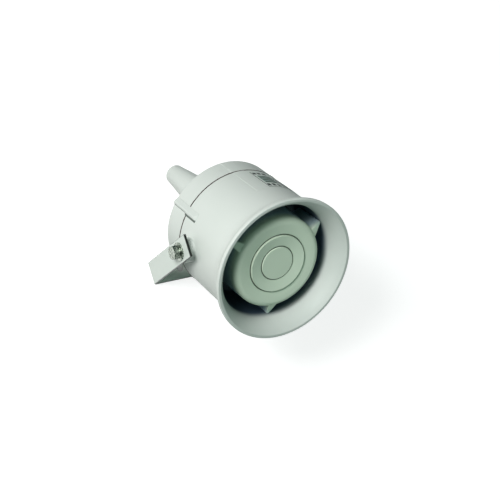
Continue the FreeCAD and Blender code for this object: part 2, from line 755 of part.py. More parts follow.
def driver():
    """The compression driver, from its cap to its yoke."""
    cap_back = f"{PLATE_BACK} - cap_depth"
    plug_seat = f"{PLATE_BACK} - plug_seat_depth"
    body = horn_body("driver_cap")
    spin(body, "Revolution", [
        ("throat_radius", PLATE_BACK),
        ("cap_flange_radius", PLATE_BACK),
        ("cap_flange_radius", f"{PLATE_BACK} - cap_flange"),
        ("cap_radius", f"{PLATE_BACK} - cap_flange"),
        ("cap_radius", cap_back),
        ("plate_radius + seat_play", cap_back),
        ("plate_radius + seat_play", CLAMP_FACE),
        ("clamp_radius", CLAMP_FACE),
        ("clamp_radius", f"{CLAMP_FACE} + clamp_relief"),
        ("plug_seat_radius", f"{CLAMP_FACE} + clamp_relief"),
        ("plug_seat_radius", plug_seat),
        ("plug_seat_radius - plug_seat_width", plug_seat),
    ])
    sketch = new_sketch(body, "XY_Plane", shift=("0", "0", f"{PLATE_BACK} - cap_flange"))
    ring(sketch, "driver_screw_radius + seat_play", "driver_screw_circle")
    hole = push(body, "Pocket", sketch, "cap_flange", reverse=True)
    repeat_round(body, [hole], DRIVER_SCREWS)

    body = horn_body("driver_screws")
    seat = f"{PLATE_BACK} - cap_flange"
    screw = spin(body, "Revolution", [
        ("0", f"{seat} - driver_screw_head"),
        ("driver_screw_head_radius - screw_head_taper", f"{seat} - driver_screw_head"),
        ("driver_screw_head_radius", seat),
        ("driver_screw_radius", seat),
        ("driver_screw_radius", f"{PLATE_BACK} + driver_screw_grip"),
        ("0", f"{PLATE_BACK} + driver_screw_grip"),
    ], shift=("driver_screw_circle", "0", "0"))
    repeat_round(body, [screw], DRIVER_SCREWS)

    dome_radius = "coil_radius + coil_wall / 2"
    dome_curve = flare_radius("dome_height", dome_radius)
    body = horn_body("phase_plug")
    rim = "plug_seat_radius - seat_play"
    plug_dome = "coil_radius - dome_space"
    spin(body, "Revolution", [
        ("0", f"{DOME_EDGE} + dome_height + dome_space", f"{dome_curve} + dome_space", True),
        (plug_dome, f"{DOME_EDGE} + dome_height - {dome_curve}"
         f" + sqrt(({dome_curve} + dome_space)^2 - ({plug_dome})^2)"),
        (rim, f"{CLAMP_FACE} + clamp_relief"),
        (rim, plug_seat),
        ("plug_nose_radius", plug_seat, "plug_nose_curve", False),
        ("plug_tip_radius", f"{PLATE_BACK} + plug_tip"),
        ("0", f"{PLATE_BACK} + plug_tip"),
    ])
    sketch = new_sketch(body, "XY_Plane", shift=("0", "0", plug_seat))
    ring(sketch, "plug_slot_radius", "throat_radius + plug_slot_radius")
    slot = push(body, "Pocket", sketch, "clamp_depth - plug_seat_depth")
    repeat_round(body, [slot], PHASE_SLOTS)

    body = horn_body("diaphragm")
    spin(body, "Revolution", [
        ("0", f"{DOME_EDGE} + dome_height", dome_curve, True),
        (dome_radius, DOME_EDGE),
        (f"{dome_radius} - dome_rim", DOME_EDGE,
         flare_radius("dome_height - dome_wall", f"{dome_radius} - dome_rim"), False),
        ("0", f"{DOME_EDGE} + dome_height - dome_wall"),
    ])
    body = horn_body("voice_coil")
    spin(body, "Revolution", box_corners("coil_radius - coil_wall / 2", f"{DOME_EDGE} - coil_length",
                                         "coil_radius + coil_wall / 2", DOME_EDGE))
    body = horn_body("suspension_ring")
    spin(body, "Revolution", box_corners(f"coil_radius + coil_wall / 2 + coil_gap", TOP_PLATE,
                                         "plate_radius", CLAMP_FACE))
    body = horn_body("top_plate")
    spin(body, "Revolution", box_corners("coil_radius + coil_wall / 2 + coil_gap", MAGNET,
                                         "plate_radius", TOP_PLATE))
    body = horn_body("ring_magnet")
    spin(body, "Revolution", box_corners("magnet_bore", YOKE, "magnet_radius", MAGNET))
    body = horn_body("yoke")
    spin(body, "Revolution", [
        ("0", f"{YOKE} - yoke_depth"),
        ("plate_radius", f"{YOKE} - yoke_depth"),
        ("plate_radius", YOKE),
        ("pole_radius", YOKE),
        ("pole_radius", f"{TOP_PLATE} - dome_wall"),
        ("0", f"{TOP_PLATE} - dome_wall"),
    ])


def transformer():
    """The line transformer: laminated core, winding, strap and its two screws."""
    middle = ("transformer_circle * cos(transformer_angle)",
              "transformer_circle * sin(transformer_angle)")

    def upright(body, radial):
        """A sketch across the radius, so its outline shows the core's face."""
        base = (f"({radial}) * cos(transformer_angle)", f"({radial}) * sin(transformer_angle)",
                PLATE_BACK)
        return new_sketch(body, "YZ_Plane", shift=base, turn="transformer_angle")

    window = "core_height - 2 * core_limb"
    inner = "transformer_circle - core_stack / 2"
    body = horn_body("transformer_core")
    sketch = upright(body, inner)
    outline(sketch, box_corners("-core_width / 2", "-core_height", "core_width / 2", "0"))
    window_width = "(core_width - 4 * core_limb) / 2"
    for side in ("-", ""):
        near, far = f"{side}core_limb", f"{side}(core_limb + {window_width})"
        low, high = (far, near) if side else (near, far)
        outline(sketch, box_corners(low, "-(core_height - core_limb)", high, "-core_limb"))
    push(body, "Pad", sketch, "core_stack")

    body = horn_body("transformer_winding")
    sketch = upright(body, "transformer_circle - winding_depth / 2")
    reach = f"core_limb + {window_width} - winding_play"
    outline(sketch, box_corners(f"-({reach})", "-(core_height - core_limb - winding_play)",
                                reach, "-(core_limb + winding_play)"))
    push(body, "Pad", sketch, "winding_depth")
    sketch = upright(body, f"{inner} - winding_play")
    outline(sketch, box_corners("-(core_limb + winding_play)",
                                "-(core_height - core_limb)",
                                "core_limb + winding_play", "-core_limb"))
    push(body, "Pocket", sketch, "core_stack + 2 * winding_play", reverse=True)

    body = horn_body("transformer_strap")
    sketch = upright(body, "transformer_circle - strap_width / 2")
    half = "core_width / 2 + winding_play"
    outline(sketch, [
        (f"-({half} + strap_foot)", "0"),
        (f"-({half} + strap_foot)", "-strap_thickness"),
        (f"-({half} + strap_thickness)", "-strap_thickness"),
        (f"-({half} + strap_thickness)", "-(core_height + winding_play + strap_thickness)"),
        (f"{half} + strap_thickness", "-(core_height + winding_play + strap_thickness)"),
        (f"{half} + strap_thickness", "-strap_thickness"),
        (f"{half} + strap_foot", "-strap_thickness"),
        (f"{half} + strap_foot", "0"),
        (half, "0"),
        (half, "-(core_height + winding_play)"),
        (f"-({half})", "-(core_height + winding_play)"),
        (f"-({half})", "0"),
    ])
    push(body, "Pad", sketch, "strap_width")
    sketch = new_sketch(body, "XY_Plane", shift=("0", "0", f"{PLATE_BACK} - strap_thickness"),
                        turn="transformer_angle")
    for side in ("", "-"):
        ring(sketch, "strap_screw_radius + seat_play", "transformer_circle",
             f"{side}({STRAP_SCREW})")
    push(body, "Pocket", sketch, "strap_thickness", reverse=True)

    body = horn_body("transformer_screws")
    seat = f"{PLATE_BACK} - strap_thickness"
    for start, depth, radius, backwards in (
            (seat, "strap_screw_head", "strap_screw_head_radius", True),
            (seat, "strap_thickness + driver_screw_grip", "strap_screw_radius", False)):
        sketch = new_sketch(body, "XY_Plane", shift=("0", "0", start), turn="transformer_angle")
        for side in ("", "-"):
            ring(sketch, radius, "transformer_circle", f"{side}({STRAP_SCREW})")
        push(body, "Pad", sketch, depth, reverse=backwards)


def terminals():
    """The screw terminal block under the cable entry."""
    body = horn_body("terminal_block")
    place = {"shift": ("0", "0", PLATE_BACK), "turn": "nozzle_angle"}
    sketch = new_sketch(body, "XY_Plane", **place)
    outline(sketch, box_corners("terminal_circle - terminal_depth / 2", "-terminal_width / 2",
                                "terminal_circle + terminal_depth / 2", "terminal_width / 2"))
    push(body, "Pad", sketch, "terminal_height", reverse=True)
    place["shift"] = ("0", "0", f"{PLATE_BACK} - terminal_height")
    sketch = new_sketch(body, "XY_Plane", **place)
    for step in ("-terminal_pitch", "0", "terminal_pitch"):
        ring(sketch, "terminal_screw_radius + seat_play", "terminal_circle", step)
    push(body, "Pocket", sketch, "terminal_screw_depth + seat_play", reverse=True)
    body = horn_body("terminal_screws")
    sketch = new_sketch(body, "XY_Plane", **place)
    for step in ("-terminal_pitch", "0", "terminal_pitch"):
        ring(sketch, "terminal_screw_radius", "terminal_circle", step)
    push(body, "Pad", sketch, "terminal_screw_depth")


bracket()
pivot_hardware()
front_housing()
reflector()
throat_plate()
cover_gasket()
rear_cover()
cover_screws()
cable_entry()
driver()
transformer()
terminals()
document.recompute()

for item in document.Objects:
    if "Invalid" in item.State or "Error" in item.State:
        raise RuntimeError(f"{item.Label} failed: {item.State}")

os.makedirs("parts", exist_ok=True)
for body in document.findObjects("PartDesign::Body"):
    shape = body.Shape
    if shape.isNull() or not shape.isValid() or not shape.Solids:
        raise RuntimeError(f"{body.Label} is not a valid solid")
    shape.exportStep(os.path.join("parts", body.Label + ".step"))
    print(f"{body.Label}: {len(shape.Solids)} solid(s), {shape.Volume / 1000:.2f} cm3")
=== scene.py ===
import json
import math
import bmesh
import bpy
from mathutils import Euler, Matrix, Vector


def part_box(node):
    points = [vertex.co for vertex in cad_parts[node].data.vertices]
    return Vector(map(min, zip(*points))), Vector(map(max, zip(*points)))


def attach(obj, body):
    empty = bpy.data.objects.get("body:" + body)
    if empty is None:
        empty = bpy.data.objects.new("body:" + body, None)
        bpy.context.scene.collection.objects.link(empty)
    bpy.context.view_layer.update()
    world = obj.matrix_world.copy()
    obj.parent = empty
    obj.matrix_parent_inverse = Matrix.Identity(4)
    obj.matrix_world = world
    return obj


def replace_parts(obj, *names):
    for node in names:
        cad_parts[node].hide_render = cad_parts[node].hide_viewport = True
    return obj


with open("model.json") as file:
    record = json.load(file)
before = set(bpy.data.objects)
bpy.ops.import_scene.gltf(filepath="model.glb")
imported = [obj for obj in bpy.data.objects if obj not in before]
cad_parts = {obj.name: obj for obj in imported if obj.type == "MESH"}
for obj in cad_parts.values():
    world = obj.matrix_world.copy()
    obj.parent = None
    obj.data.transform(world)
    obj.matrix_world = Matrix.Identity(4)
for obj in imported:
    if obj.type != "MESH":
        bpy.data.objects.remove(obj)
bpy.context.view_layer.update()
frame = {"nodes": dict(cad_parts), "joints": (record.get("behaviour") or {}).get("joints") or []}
nodes = frame["nodes"]


# Mounting bracket
# One strip of mild steel, powder coated in the horn's grey before it is sheared to length, drilled
# and folded to a U. The coat shows a faint orange peel. The sheared end and side edges are painted
# dark: painted shade for the shadow gap between the arm and the horn.
MM = 0.001  # named lengths are in millimetres, save those from the frame, and MM makes them metres
STRIP_SIDE, STRIP_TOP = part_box("mounting_bracket")[1][1:]
# Painted shade on the sheared edges: where it starts and where it is full, in mm in from each edge.
EDGE_SHADE_STARTS = 0.3
EDGE_SHADE_FULL = 0.1
PEEL_PER_MM = 0.9
COAT_DRIFT_PER_MM = 0.035
# A Mix node's colours and its mixed colour go by number, because its sockets share their names.
COLOUR_A, COLOUR_B, MIXED = 6, 7, 2


def linear(hex_colour):
    """The shader's colour for an sRGB hex value."""
    channels = [int(hex_colour[i:i + 2], 16) / 255 for i in (1, 3, 5)]
    return [c / 12.92 if c <= 0.04045 else ((c + 0.055) / 1.055) ** 2.4 for c in channels] + [1.0]


def link(owner, node, links):
    """Joins a node's inputs to other nodes' outputs. A socket goes by its name or its number."""
    for socket, (source, output) in links.items():
        owner.node_tree.links.new(source.outputs[output], node.inputs[socket])


def add_node(owner, kind, settings=None, links=None):
    """Adds one node to a material or a world, with its options and sockets set and linked."""
    node = owner.node_tree.nodes.new(kind)
    for name, setting in (settings or {}).items():
        if isinstance(name, int) or name in node.inputs:
            node.inputs[name].default_value = setting
        else:
            setattr(node, name, setting)
    link(owner, node, links or {})
    return node


def new_finish(name, **settings):
    """A material with a Principled shader, and the object coordinates that its patterns read."""
    material = bpy.data.materials.new(name)
    material.use_nodes = True
    shader = material.node_tree.nodes["Principled BSDF"]
    for socket, setting in settings.items():
        shader.inputs[socket.replace("_", " ")].default_value = setting
    place = add_node(material, "ShaderNodeTexCoord")
    return material, shader, place


def dress(material, *names):
    """Gives CAD nodes their finish."""
    for name in names:
        nodes[name].data.materials.clear()
        nodes[name].data.materials.append(material)


def powder_coat():
    """Powder-coated steel: a soft satin skin with a shallow orange peel of about a millimetre, in a
    tone that drifts a little over 30 mm."""
    material, shader, place = new_finish("powder_coated_steel", IOR=1.5, Roughness=0.42)
    peel = add_node(material, "ShaderNodeTexNoise", {"Scale": PEEL_PER_MM / MM, "Detail": 2.0},
                    {"Vector": (place, "Object")})
    drift = add_node(material, "ShaderNodeTexNoise", {"Scale": COAT_DRIFT_PER_MM / MM, "Detail": 3.0},
                     {"Vector": (place, "Object")})
    coat = add_node(material, "ShaderNodeMix",
                    {"data_type": "RGBA", COLOUR_A: linear("#C8D1CA"), COLOUR_B: linear("#D0D7D0")},
                    {"Factor": (drift, "Fac")})
    axes = add_node(material, "ShaderNodeSeparateXYZ", links={"Vector": (place, "Object")})
    across = add_node(material, "ShaderNodeMath", {"operation": "ABSOLUTE"}, {0: (axes, "Y")})
    # The end and side edges are painted dark: painted shade for the shadow gap along the arm.
    for edge, depth, steel in ((STRIP_TOP, (axes, "Z"), "#1B1F1D"), (STRIP_SIDE, (across, 0), "#38423D")):
        edge_shade = add_node(material, "ShaderNodeMapRange",
                        {"From Min": edge - EDGE_SHADE_STARTS * MM, "From Max": edge - EDGE_SHADE_FULL * MM},
                        {"Value": depth})
        coat = add_node(material, "ShaderNodeMix", {"data_type": "RGBA", COLOUR_B: linear(steel)},
                        {"Factor": (edge_shade, "Result"), COLOUR_A: (coat, MIXED)})
    bump = add_node(material, "ShaderNodeBump", {"Strength": 0.18, "Distance": 0.2 * MM},
                    {"Height": (peel, "Fac")})
    link(material, shader, {"Base Color": (coat, MIXED), "Normal": (bump, "Normal")})
    return material


dress(powder_coat(), "mounting_bracket")


# Bolts, washers and screws
# An M8 hexagon bolt on each side with a plain and a spring washer, all of zinc plated steel. Each
# is screwed into a brass insert in the horn's boss and clamps the bracket's arm. The horn's screws
# are plated alike, and the terminals' screws are of the same brass.
STIPPLE_PER_MM = 0.52
HANDLING_MARKS_PER_MM = 1.4
TOOL_MARKS_PER_MM = 1.8


def zinc_plate():
    """Zinc plate gone dull outdoors: a cool grey metal, stippled in patches of 2 mm, with fine marks
    from handling."""
    material, shader, place = new_finish("zinc_plated_steel", Metallic=1.0)
    cloud = add_node(material, "ShaderNodeTexNoise", {"Scale": STIPPLE_PER_MM / MM, "Detail": 5.0},
                     {"Vector": (place, "Object")})
    spots = add_node(material, "ShaderNodeMapRange", {"From Min": 0.38, "From Max": 0.62},
                     {"Value": (cloud, "Fac")})
    tone = add_node(material, "ShaderNodeMix",
                    {"data_type": "RGBA", COLOUR_A: linear("#59635A"), COLOUR_B: linear("#C3CABF")},
                    {"Factor": (spots, "Result")})
    rough = add_node(material, "ShaderNodeMapRange", {"To Min": 0.2, "To Max": 0.36},
                     {"Value": (cloud, "Fac")})
    marks = add_node(material, "ShaderNodeTexNoise",
                     {"Scale": HANDLING_MARKS_PER_MM / MM, "Detail": 2.0}, {"Vector": (place, "Object")})
    bump = add_node(material, "ShaderNodeBump", {"Strength": 0.12, "Distance": 0.1 * MM},
                    {"Height": (marks, "Fac")})
    link(material, shader, {"Base Color": (tone, MIXED), "Roughness": (rough, "Result"),
                            "Normal": (bump, "Normal")})
    return material


def turned_brass():
    """Turned brass: warm metal whose gloss is a little uneven where the tool has passed."""
    material, shader, place = new_finish("turned_brass", Metallic=1.0, Base_Color=linear("#C9A45C"))
    marks = add_node(material, "ShaderNodeTexNoise", {"Scale": TOOL_MARKS_PER_MM / MM, "Detail": 1.0},
                     {"Vector": (place, "Object")})
    rough = add_node(material, "ShaderNodeMapRange", {"To Min": 0.25, "To Max": 0.4},
                     {"Value": (marks, "Fac")})
    link(material, shader, {"Roughness": (rough, "Result")})
    return material


dress(zinc_plate(), "pivot_bolts", "pivot_flat_washers", "pivot_spring_washers", "cover_screws",
      "driver_screws", "transformer_screws")
dress(turned_brass(), "pivot_inserts", "terminal_screws")


# Bell, rear cover and cable entry
# Mouldings of pale grey ABS from tools with a fine spark-eroded grain. The grain scatters the
# light, so the plastic looks dry and even, with a faint sheen where it turns away.
TILT = math.radians(43)
PIVOT = next(joint for joint in frame["joints"] if joint["name"] == "horn_tilt")["pos_m"]
# Painted shade in the bore: inside this radius its wall darkens between these two heights.
BORE_SHADE_RADIUS = 64.0
BORE_SHADE_FRONT = 57.5
BORE_SHADE_DEEP = 44.5
# Angles over which the tongue's foot is painted darker, as painted shade.
TONGUE_SHADE = (153.3, 154.3)
TONGUE_REACH = 65.2
# Distances from a groove's middle over which it is painted darker, as painted shade.
GROOVE_SHADE = (0.7, 0.4)
GRAIN_PER_MM = 2.2
MOULDING_DRIFT_PER_MM = 0.022
BODY_GREYS = ("#C6CDC7", "#CDD2CD")


def along_horn(material, place):
    """Object coordinates turned into the horn's own: Z runs along its axis, from the pivot."""
    turned_place = add_node(material, "ShaderNodeMapping",
                            {"vector_type": "TEXTURE", "Location": PIVOT, "Rotation": (TILT, 0.0, 0.0)},
                            {"Vector": (place, "Object")})
    axes = add_node(material, "ShaderNodeSeparateXYZ", links={"Vector": (turned_place, "Vector")})
    flat = add_node(material, "ShaderNodeCombineXYZ", links={"X": (axes, "X"), "Y": (axes, "Y")})
    radius = add_node(material, "ShaderNodeVectorMath", {"operation": "LENGTH"},
                      {"Vector": (flat, "Vector")})
    return axes, radius


def bore_shade_mask(material, axes, radius):
    """How far the painted shade darkens the bore's wall: not near the mouth, and almost wholly from
    13 mm further in."""
    depth = add_node(material, "ShaderNodeMapRange",
                     {"interpolation_type": "SMOOTHSTEP", "From Min": BORE_SHADE_FRONT * MM,
                      "From Max": BORE_SHADE_DEEP * MM, "To Max": 0.94}, {"Value": (axes, "Z")})
    inside = add_node(material, "ShaderNodeMath", {"operation": "LESS_THAN", 1: BORE_SHADE_RADIUS * MM},
                      {0: (radius, "Value")})
    return add_node(material, "ShaderNodeMath", {"operation": "MULTIPLY"},
                    {0: (depth, "Result"), 1: (inside, 0)})


def tongue_shade_mask(material, axes, radius):
    """Painted shade: darker at the foot of the steep flank of the tongue over the seam."""
    round_horn = add_node(material, "ShaderNodeMath", {"operation": "ARCTAN2"},
                          {0: (axes, "Y"), 1: (axes, "X")})
    unshaded, shaded = (math.radians(angle) for angle in TONGUE_SHADE)
    foot = add_node(material, "ShaderNodeMapRange",
                    {"interpolation_type": "SMOOTHSTEP", "From Min": unshaded, "From Max": shaded,
                     "To Max": 0.9}, {"Value": (round_horn, 0)})
    proud = add_node(material, "ShaderNodeMath", {"operation": "GREATER_THAN", 1: TONGUE_REACH * MM},
                     {0: (radius, "Value")})
    return add_node(material, "ShaderNodeMath", {"operation": "MULTIPLY"},
                    {0: (foot, "Result"), 1: (proud, 0)})


def groove_shade_mask(material, radius, middle):
    """Painted shade: darker on the floor of a ring groove and the lower half of its flanks."""
    off = add_node(material, "ShaderNodeMath", {"operation": "SUBTRACT", 1: middle * MM},
                   {0: (radius, "Value")})
    reach = add_node(material, "ShaderNodeMath", {"operation": "ABSOLUTE"}, {0: (off, 0)})
    unshaded, shaded = (distance * MM for distance in GROOVE_SHADE)
    return add_node(material, "ShaderNodeMapRange",
                    {"interpolation_type": "SMOOTHSTEP", "From Min": unshaded, "From Max": shaded,
                     "To Max": 0.9}, {"Value": (reach, 0)})


def moulded_abs(name, dark, light, bore_shade=None, grooves=(), tongue=False):
    """Moulded ABS: a grain drawn half a millimetre wide, coarser than the real one so that it shows,
    and a slow drift in tone from the moulding. Painted shade: where a piece lines the bore it darkens
    deeper in, and it is darker in its grooves, given by their radii, and along the tongue's foot."""
    material, shader, place = new_finish(name, IOR=1.53)
    drift = add_node(material, "ShaderNodeTexNoise",
                     {"Scale": MOULDING_DRIFT_PER_MM / MM, "Detail": 3.0}, {"Vector": (place, "Object")})
    grain = add_node(material, "ShaderNodeTexNoise", {"Scale": GRAIN_PER_MM / MM, "Detail": 2.0},
                     {"Vector": (place, "Object")})
    coat = add_node(material, "ShaderNodeMix",
                    {"data_type": "RGBA", COLOUR_A: linear(dark), COLOUR_B: linear(light)},
                    {"Factor": (drift, "Fac")})
    bump = add_node(material, "ShaderNodeBump", {"Strength": 0.15, "Distance": 0.1 * MM},
                    {"Height": (grain, "Fac")})
    axes, radius = along_horn(material, place)
    # The ring grooves are painted darker: painted shade.
    layers = [(groove_shade_mask(material, radius, middle), "#25332B") for middle in grooves]
    if tongue:
        # The tongue's foot is painted darker: painted shade.
        layers.append((tongue_shade_mask(material, axes, radius), "#2C4034"))
    # The bore's wall darkens deeper in: painted shade.
    if bore_shade:
        layers.append((bore_shade_mask(material, axes, radius), bore_shade))
    for mask, colour in layers:
        coat = add_node(material, "ShaderNodeMix", {"data_type": "RGBA", COLOUR_B: linear(colour)},
                        {"Factor": (mask, 0), COLOUR_A: (coat, MIXED)})
    rough = add_node(material, "ShaderNodeMapRange", {"To Min": 0.5, "To Max": 0.66},
                     {"Value": (drift, "Fac")})
    link(material, shader, {"Base Color": (coat, MIXED), "Roughness": (rough, "Result"),
                            "Normal": (bump, "Normal")})
    return material


dress(moulded_abs("grained_grey_abs", *BODY_GREYS, tongue=True), "rear_cover", "cable_nozzle",
      "gland_nut")
# The bore's wall darkens to a navy near black deeper in: painted shade.
dress(moulded_abs("shade_darkened_grey_abs", *BODY_GREYS, bore_shade="#17364F"), "front_housing")


# Reflector
# The hollow plug in the middle of the mouth, moulded in a greener grey than the bell: a painted
# shade tint for the green cast of the shade in the mouth. Two ring grooves part its face into shallow
# dished steps. Three gussets hold it in the bell, and it turns the sound back outwards.
HORN_PLACE = Matrix.Translation(PIVOT) @ Matrix.Rotation(TILT, 4, "X") @ Matrix.Scale(MM, 4)
SPIN_STEPS = 144
SHOULDER_STEPS = 9
BEVEL_STEPS = 3
SHARP_TURN = math.radians(28)
MERGE_REACH = 1e-4
INNER_GROOVE = 17.9
OUTER_GROOVE = 30.7
GROOVE_FLOOR_HALF = 0.35
GROOVE_TOP_HALF = 0.95
GROOVE_DEPTH = 1.5
MIDDLE_HEIGHT = 60.4
EDGE_RISE = 1.3
INNER_DIP = 0.6
OUTER_DIP = 0.3
BOWL_RADIUS = 48.0
BOWL_WALL = 2.5
SHOULDER = 6.5
# A foot is its radius and its height along the horn.
BOWL_FOOT = (49.0, 8.0)
GUSSET_ANGLES = (30, 150, 270)
# A gusset's corner is its radius, its height and its half thickness.
GUSSET_ROOT = (44.2, 59.6, 6.0)
GUSSET_TIP = (61.3, 50.4, 1.2)
GUSSET_INNER_FOOT = (47.0, 14.0, 3.0)
GUSSET_OUTER_FOOT = (60.0, 14.0, 1.2)
GUSSET_EDGE = 0.9


def groove(middle, inner_height, outer_height):
    """Section of a ring groove: two flanks down to a narrow floor."""
    floor = min(inner_height, outer_height) - GROOVE_DEPTH
    return [(middle - GROOVE_TOP_HALF, inner_height), (middle - GROOVE_FLOOR_HALF, floor),
            (middle + GROOVE_FLOOR_HALF, floor), (middle + GROOVE_TOP_HALF, outer_height)]


def quarter(centre, radius):
    """A quarter of a circle, from its top round to its outer side."""
    turns = [math.radians(90 - 90 * i / SHOULDER_STEPS) for i in range(SHOULDER_STEPS + 1)]
    return [(centre[0] + radius * math.cos(a), centre[1] + radius * math.sin(a)) for a in turns]


def bowl_section():
    """Half section of the bowl, from the middle of its face round to the middle of its inside."""
    edge_height = MIDDLE_HEIGHT + EDGE_RISE
    corner = (BOWL_RADIUS - SHOULDER, edge_height - SHOULDER)
    return [(0.0, MIDDLE_HEIGHT),
            *groove(INNER_GROOVE, MIDDLE_HEIGHT, MIDDLE_HEIGHT - INNER_DIP),
            *groove(OUTER_GROOVE, edge_height, MIDDLE_HEIGHT - OUTER_DIP),
            *quarter(corner, SHOULDER), BOWL_FOOT, (BOWL_FOOT[0] - BOWL_WALL, BOWL_FOOT[1]),
            *reversed(quarter(corner, SHOULDER - BOWL_WALL)), (0.0, edge_height - BOWL_WALL)]


def new_piece(name, shape, material):
    """Makes a finished mesh a piece that rides on the horn."""
    mesh = bpy.data.meshes.new(name)
    shape.to_mesh(mesh)
    shape.free()
    for polygon in mesh.polygons:
        polygon.use_smooth = True
    mesh.set_sharp_from_angle(angle=SHARP_TURN)
    mesh.materials.append(material)
    piece = bpy.data.objects.new(name, mesh)
    bpy.context.scene.collection.objects.link(piece)
    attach(piece, "horn")
    return piece


def turned(section, steps=SPIN_STEPS, closed=False):
    """Spins a half section about the Z axis. A closed section is a loop that stays off the axis."""
    shape = bmesh.new()
    corners = [shape.verts.new((radius, 0.0, height)) for radius, height in section]
    following = corners[1:] + corners[:1] if closed else corners[1:]
    edges = [shape.edges.new(pair) for pair in zip(corners, following)]
    bmesh.ops.spin(shape, geom=corners + edges, axis=(0, 0, 1), cent=(0, 0, 0),
                   steps=steps, angle=2 * math.pi, use_merge=True)
    bmesh.ops.remove_doubles(shape, verts=shape.verts, dist=MERGE_REACH)
    bmesh.ops.recalc_face_normals(shape, faces=shape.faces)
    return shape


def gusset(shape, angle):
    """A fin with rounded edges, tall and thick at the bowl, lower and thin at the bell."""
    block = bmesh.ops.create_cube(shape, size=2.0)["verts"]
    for corner in block:
        inner, outer = ((GUSSET_ROOT, GUSSET_TIP) if corner.co.z > 0
                        else (GUSSET_INNER_FOOT, GUSSET_OUTER_FOOT))
        radius, height, half = outer if corner.co.x > 0 else inner
        corner.co = (radius, math.copysign(half, corner.co.y), height)
    edges = [edge for edge in shape.edges if edge.verts[0] in block]
    rounded = bmesh.ops.bevel(shape, geom=edges, offset=GUSSET_EDGE, affect="EDGES",
                              segments=BEVEL_STEPS, profile=0.5, material=-1)["verts"]
    bmesh.ops.rotate(shape, verts=rounded, cent=(0, 0, 0),
                     matrix=Matrix.Rotation(math.radians(angle), 3, "Z"))


bowl = turned(bowl_section())
for gusset_angle in GUSSET_ANGLES:
    gusset(bowl, gusset_angle)
bmesh.ops.transform(bowl, matrix=HORN_PLACE, verts=bowl.verts)
# A greener grey than the bell, going blue-grey deeper in on its side and gussets: painted shade.
shade_tinted_abs = moulded_abs("shade_tinted_grained_abs", "#CCDCC8", "#D6E4D1", bore_shade="#B4CDD6",
                   grooves=(INNER_GROOVE, OUTER_GROOVE))
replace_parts(new_piece("reflector_bowl", bowl, shade_tinted_abs), "reflector")


# Cover gasket
# A flat gasket of dark cellular rubber, nipped in the seam between bell and cover. Its edge is
# squeezed out a little and shows as an uneven dark line.
CELLS_PER_MM = 0.7
BLOOM_PER_MM = 0.3
BEAD_STEPS = 720
BEAD_SIDES = 8
BEAD_RADIUS = 64.95
BEAD_HEIGHT = -21.0
BEAD_HALF_WIDTH = 0.45
BEAD_HALF_HEIGHT = 0.7
# A wave is its count round the seam and where it starts, in radians.
SWELL_WAVES = ((23, 0.0), (61, 1.3), (97, 0.4))
SWELL_MEAN = 0.8
SWELL_SHARE = 0.08
DRIFT_WAVE = (37, 2.1)
DRIFT_REACH = 0.07


def cellular_rubber():
    """Cellular rubber: black with rust brown cells, drawn 1.4 mm wide so that they show, and
    nearly matt."""
    material, shader, place = new_finish("brown_cellular_rubber", IOR=1.5, Roughness=0.85)
    cells = add_node(material, "ShaderNodeTexNoise", {"Scale": CELLS_PER_MM / MM, "Detail": 3.0},
                     {"Vector": (place, "Object")})
    tone = add_node(material, "ShaderNodeMix",
                    {"data_type": "RGBA", COLOUR_A: linear("#080403"), COLOUR_B: linear("#3C1E0C")},
                    {"Factor": (cells, "Fac")})
    link(material, shader, {"Base Color": (tone, MIXED)})
    return material


def black_rubber():
    """Moulded black rubber, softened by a dusty bloom in patches of 3 mm."""
    material, shader, place = new_finish("black_rubber", IOR=1.5, Roughness=0.7)
    bloom = add_node(material, "ShaderNodeTexNoise", {"Scale": BLOOM_PER_MM / MM, "Detail": 3.0},
                     {"Vector": (place, "Object")})
    tone = add_node(material, "ShaderNodeMix",
                    {"data_type": "RGBA", COLOUR_A: linear("#161616"), COLOUR_B: linear("#242424")},
                    {"Factor": (bloom, "Fac")})
    link(material, shader, {"Base Color": (tone, MIXED)})
    return material


def wave(angle, count, start):
    """A wave's height at an angle round the seam, from -1 to 1."""
    return math.sin(count * angle + start)


def uneven_bead():
    """The gasket's nipped edge: a thin ring whose section swells and shrinks along the seam."""
    turns = [2 * math.pi * side / BEAD_SIDES for side in range(BEAD_SIDES)]
    section = [(BEAD_RADIUS + BEAD_HALF_WIDTH * math.cos(a), BEAD_HEIGHT + BEAD_HALF_HEIGHT * math.sin(a))
               for a in turns]
    shape = turned(section, BEAD_STEPS, closed=True)
    for corner in shape.verts:
        x, y, z = corner.co
        angle = math.atan2(y, x)
        swell = SWELL_MEAN + SWELL_SHARE * sum(wave(angle, *one) for one in SWELL_WAVES)
        radius = BEAD_RADIUS + swell * (math.hypot(x, y) - BEAD_RADIUS)
        height = BEAD_HEIGHT + swell * (z - BEAD_HEIGHT) + DRIFT_REACH * wave(angle, *DRIFT_WAVE)
        corner.co = (radius * math.cos(angle), radius * math.sin(angle), height)
    bmesh.ops.transform(shape, matrix=HORN_PLACE, verts=shape.verts)
    return shape


gasket_rubber = cellular_rubber()
dress(gasket_rubber, "cover_gasket")
dress(black_rubber(), "cable_seal")
new_piece("gasket_bead", uneven_bead(), gasket_rubber)


# Label
# A thin printed foil, glued to the bell's wall beside the raised strip: a pale ground with a fine
# frame, dark squares, a grey-green block and dark rules.
WALL_FOOT = (65.0, -21.0)
WALL_WIDENS = 1.2
WALL_LENGTH = 71.0
INK_PER_MM = 0.9
FOIL_LIFT = 0.12
INK_LIFT = 0.16
LINE_LIFT = 0.2
FOIL_STEP = 1.5
